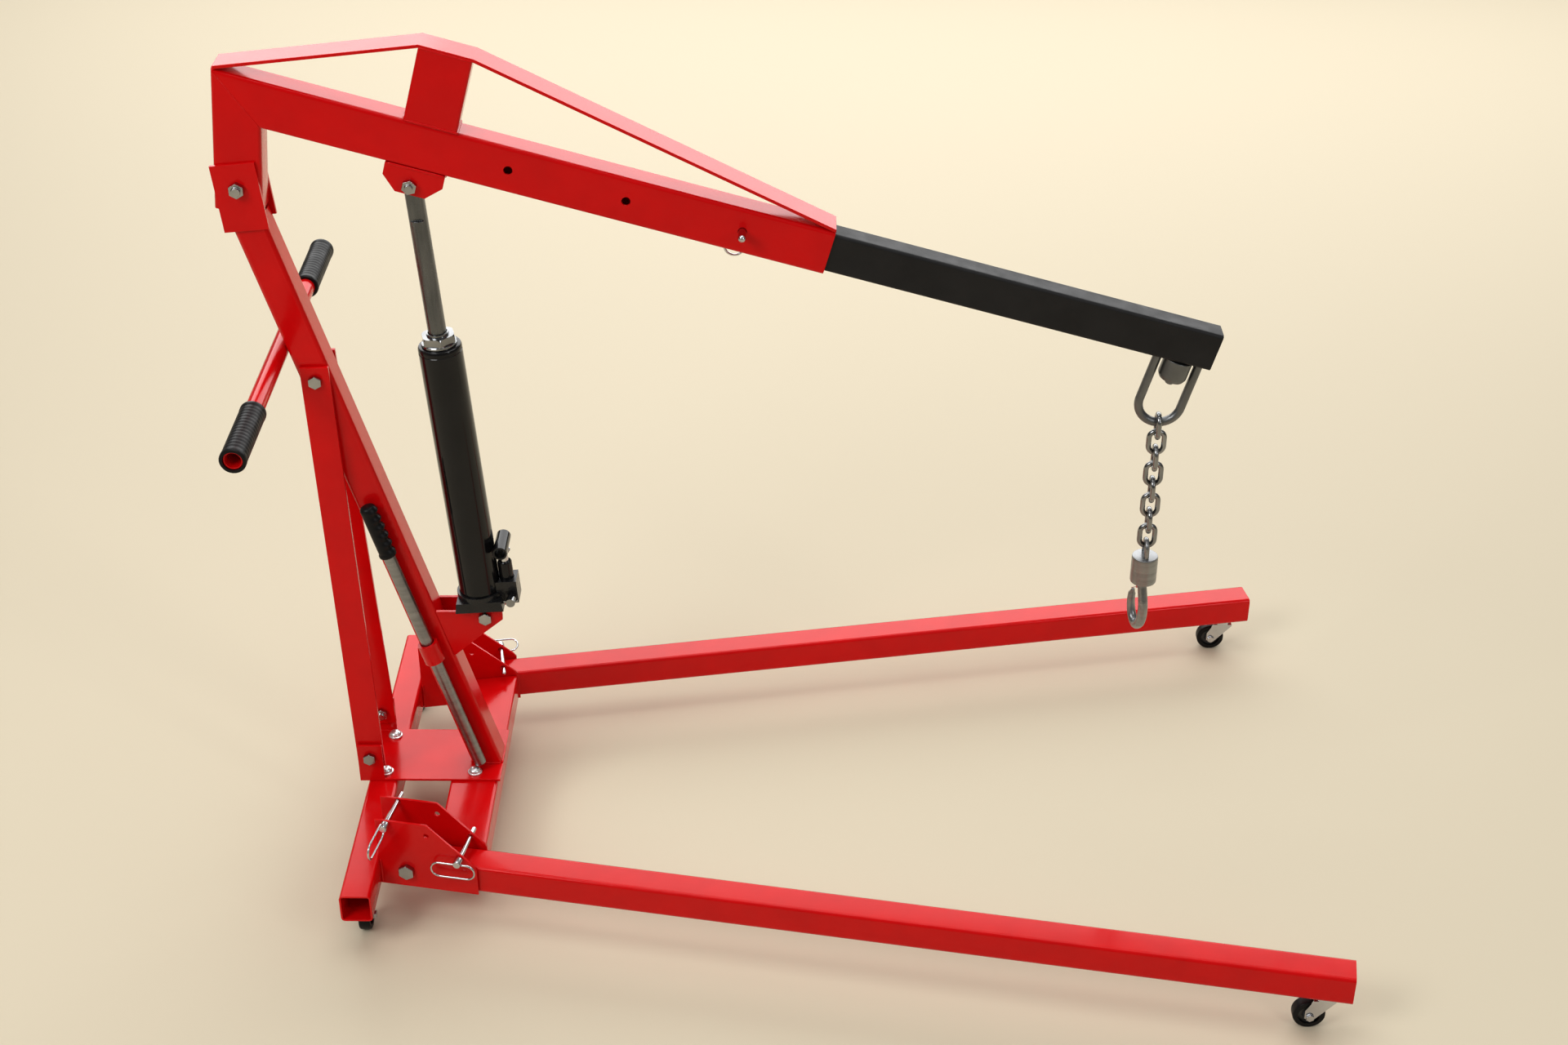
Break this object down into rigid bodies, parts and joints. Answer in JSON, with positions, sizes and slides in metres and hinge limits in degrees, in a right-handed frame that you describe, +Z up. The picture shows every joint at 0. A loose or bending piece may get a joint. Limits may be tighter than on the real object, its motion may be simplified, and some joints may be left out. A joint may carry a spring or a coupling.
{
  "type": "engine hoist",
  "caption": "Folding wheeled hoist: two splayed legs, leaning mast, trussed boom on a hydraulic ram, sliding extension, chain and swivel hook.",
  "frame": {"origin": "middle of the bounding box in X and Y, on the floor under the casters", "axes": "+X from the mast towards the leg tips and hook, +Y to the machine's left, +Z up"},
  "size_m": [1.6926, 1.0728, 1.3777],
  "materials": {
    "red_paint": "gloss",
    "black_textured": "satin textured",
    "black_gloss": "gloss",
    "steel": "satin",
    "zinc": "bright",
    "rubber": "matte"
  },
  "bodies": {
    "base": {"rear_cross_tube": "red_paint", "front_cross_tube": "red_paint", "base_plate": "red_paint", "mast": "red_paint", "brace_right": "red_paint", "brace_left": "red_paint", "brace_foot_bolt_right": "zinc", "brace_foot_bolt_left": "zinc", "brace_top_bolt": "zinc", "boom_pivot_bolt": "zinc", "ram_foot_bolt": "zinc", "push_bar": "red_paint", "push_grip_right": "rubber", "push_grip_left": "rubber", "leg_pivot_bolt_right": "zinc", "leg_pivot_bolt_left": "zinc"},
    "boom": {"boom_tube": "red_paint", "boom_strap": "red_paint", "boom_post": "red_paint", "ram_lug": "red_paint", "ram_top_bolt": "zinc"},
    "boom_pin": {"boom_lock_pin": "zinc"},
    "extension": {"extension_tube": "black_textured", "shackle": "steel", "shackle_hub": "steel"},
    "ram_rod": {"ram_rod": "steel"},
    "ram_body": {"ram_cylinder": "black_gloss", "gland_nut": "zinc", "ram_base": "black_gloss", "pump_barrel": "black_gloss"},
    "plunger": {"pump_plunger": "zinc"},
    "socket": {"pump_socket": "black_gloss"},
    "valve": {"release_valve": "zinc"},
    "handle": {"pump_handle": "steel", "pump_handle_grip": "rubber"},
    "link_1": {"chain_link_1": "zinc"},
    "link_2": {"chain_link_2": "zinc"},
    "link_3": {"chain_link_3": "zinc"},
    "link_4": {"chain_link_4": "zinc"},
    "link_5": {"chain_link_5": "zinc"},
    "link_6": {"chain_link_6": "zinc"},
    "link_7": {"chain_link_7": "zinc"},
    "link_8": {"chain_link_8": "zinc"},
    "swivel": {"swivel": "steel"},
    "hook": {"hook": "steel"},
    "leg_right": {"leg_right": "red_paint"},
    "front_pin_right": {"front_lock_pin_right": "zinc"},
    "rear_pin_right": {"rear_lock_pin_right": "zinc"},
    "front_caster_right": {"caster_fork_front_right": "zinc"},
    "front_wheel_right": {"caster_wheel_front_right": "rubber"},
    "rear_caster_right": {"caster_fork_rear_right": "zinc"},
    "rear_wheel_right": {"caster_wheel_rear_right": "rubber"},
    "leg_left": {"leg_left": "red_paint"},
    "front_pin_left": {"front_lock_pin_left": "zinc"},
    "rear_pin_left": {"rear_lock_pin_left": "zinc"},
    "front_caster_left": {"caster_fork_front_left": "zinc"},
    "front_wheel_left": {"caster_wheel_front_left": "rubber"},
    "rear_caster_left": {"caster_fork_rear_left": "zinc"},
    "rear_wheel_left": {"caster_wheel_rear_left": "rubber"}
  },
  "joints": [
    {"name": "boom_raise", "type": "hinge", "parent": "base", "child": "boom", "pos_m": [-0.80785, 0, 1.1617], "axis": [0, -1, 0], "range_deg": [-16, 34]},
    {"name": "ram_top_pivot", "type": "hinge", "parent": "boom", "child": "ram_rod", "pos_m": [-0.55966, 0, 1.16517], "axis": [0, -1, 0], "range_deg": [-36, 17.5]},
    {"name": "ram_stroke", "type": "slide", "parent": "ram_rod", "child": "ram_body", "axis": [0.0711, 0, -0.9975], "range_m": [-0.085, 0.165]},
    {"name": "extension_slide", "type": "slide", "parent": "boom", "child": "extension", "axis": [0.9627, 0, -0.2706], "range_m": [-0.3488, 0], "deforming": ["boom_lock_pin"]},
    {"name": "boom_pin_pull", "type": "slide", "parent": "boom", "child": "boom_pin", "axis": [0, 1, 0], "range_m": [0, 0.082]},
    {"name": "chain_swing_1", "type": "hinge", "parent": "extension", "child": "link_1", "pos_m": [0.5558, 0, 0.76757], "axis": [1, 0, 0], "range_deg": [-28, 28]},
    {"name": "chain_swing_2", "type": "hinge", "parent": "link_1", "child": "link_2", "pos_m": [0.5558, 0, 0.74182], "axis": [0, 1, 0], "range_deg": [-28, 28]},
    {"name": "chain_swing_3", "type": "hinge", "parent": "link_2", "child": "link_3", "pos_m": [0.5558, 0, 0.71342], "axis": [1, 0, 0], "range_deg": [-28, 28]},
    {"name": "chain_swing_4", "type": "hinge", "parent": "link_3", "child": "link_4", "pos_m": [0.5558, 0, 0.68502], "axis": [0, 1, 0], "range_deg": [-28, 28]},
    {"name": "chain_swing_5", "type": "hinge", "parent": "link_4", "child": "link_5", "pos_m": [0.5558, 0, 0.65662], "axis": [1, 0, 0], "range_deg": [-28, 28]},
    {"name": "chain_swing_6", "type": "hinge", "parent": "link_5", "child": "link_6", "pos_m": [0.5558, 0, 0.62822], "axis": [0, 1, 0], "range_deg": [-28, 28]},
    {"name": "chain_swing_7", "type": "hinge", "parent": "link_6", "child": "link_7", "pos_m": [0.5558, 0, 0.59982], "axis": [1, 0, 0], "range_deg": [-28, 28]},
    {"name": "chain_swing_8", "type": "hinge", "parent": "link_7", "child": "link_8", "pos_m": [0.5558, 0, 0.57142], "axis": [0, 1, 0], "range_deg": [-28, 28]},
    {"name": "swivel_swing", "type": "hinge", "parent": "link_8", "child": "swivel", "pos_m": [0.5558, 0, 0.54302], "axis": [1, 0, 0], "range_deg": [-28, 28]},
    {"name": "hook_turn", "type": "hinge", "parent": "swivel", "child": "hook", "pos_m": [0.5558, 0, 0.47267], "axis": [0, 0, 1], "continuous": true},
    {"name": "pump_lever", "type": "hinge", "parent": "ram_body", "child": "socket", "pos_m": [-0.46803, 0.016, 0.51998], "axis": [0.9975, 0, 0.0711], "range_deg": [-30, 30]},
    {"name": "pump_stroke", "type": "slide", "parent": "ram_body", "child": "plunger", "axis": [-0.0711, 0, 0.9975], "range_m": [-0.0085, 0.0085]},
    {"name": "release_turn", "type": "hinge", "parent": "ram_body", "child": "valve", "pos_m": [-0.45713, -0.03, 0.45158], "axis": [0, -1, 0], "range_deg": [-90, 90]},
    {"name": "handle_lift", "type": "slide", "parent": "base", "child": "handle", "axis": [-0.2756, 0, 0.9613], "range_m": [0, 0.05]},
    {"name": "leg_fold_right", "type": "hinge", "parent": "base", "child": "leg_right", "pos_m": [-0.61198, -0.24503, 0.098], "axis": [-0.1805, -0.9836, 0], "range_deg": [0, 90], "deforming": ["front_lock_pin_right"]},
    {"name": "front_pin_pull_right", "type": "slide", "parent": "base", "child": "front_pin_right", "axis": [-0.1805, -0.9836, 0], "range_m": [0, 0.085]},
    {"name": "rear_pin_pull_right", "type": "slide", "parent": "base", "child": "rear_pin_right", "axis": [-0.1805, -0.9836, 0], "range_m": [0, 0.085]},
    {"name": "front_swivel_right", "type": "hinge", "parent": "leg_right", "child": "front_caster_right", "pos_m": [0.80142, -0.50443, 0.06], "axis": [0, 0, 1], "continuous": true},
    {"name": "front_roll_right", "type": "hinge", "parent": "front_caster_right", "child": "front_wheel_right", "pos_m": [0.78142, -0.50443, 0.025], "axis": [0, 1, 0], "continuous": true},
    {"name": "rear_swivel_right", "type": "hinge", "parent": "base", "child": "rear_caster_right", "pos_m": [-0.68615, -0.315, 0.06], "axis": [0, 0, 1], "continuous": true},
    {"name": "rear_roll_right", "type": "hinge", "parent": "rear_caster_right", "child": "rear_wheel_right", "pos_m": [-0.68615, -0.295, 0.025], "axis": [1, 0, 0], "continuous": true},
    {"name": "leg_fold_left", "type": "hinge", "parent": "base", "child": "leg_left", "pos_m": [-0.61198, 0.24503, 0.098], "axis": [0.1805, -0.9836, 0], "range_deg": [0, 90], "deforming": ["front_lock_pin_left"]},
    {"name": "front_pin_pull_left", "type": "slide", "parent": "base", "child": "front_pin_left", "axis": [-0.1805, 0.9836, 0], "range_m": [0, 0.085]},
    {"name": "rear_pin_pull_left", "type": "slide", "parent": "base", "child": "rear_pin_left", "axis": [-0.1805, 0.9836, 0], "range_m": [0, 0.085]},
    {"name": "front_swivel_left", "type": "hinge", "parent": "leg_left", "child": "front_caster_left", "pos_m": [0.80142, 0.50443, 0.06], "axis": [0, 0, 1], "continuous": true},
    {"name": "front_roll_left", "type": "hinge", "parent": "front_caster_left", "child": "front_wheel_left", "pos_m": [0.78142, 0.50443, 0.025], "axis": [0, 1, 0], "continuous": true},
    {"name": "rear_swivel_left", "type": "hinge", "parent": "base", "child": "rear_caster_left", "pos_m": [-0.68615, 0.315, 0.06], "axis": [0, 0, 1], "continuous": true},
    {"name": "rear_roll_left", "type": "hinge", "parent": "rear_caster_left", "child": "rear_wheel_left", "pos_m": [-0.68615, 0.295, 0.025], "axis": [-1, 0, 0], "continuous": true}
  ],
  "couplings": [
    {"joint": "ram_top_pivot", "follows": "boom_raise", "ratio": -0.968},
    {"joint": "ram_stroke", "follows": "boom_raise", "m_per_rad": 0.2405},
    {"joint": "pump_stroke", "follows": "pump_lever", "m_per_rad": -0.016}
  ]
}
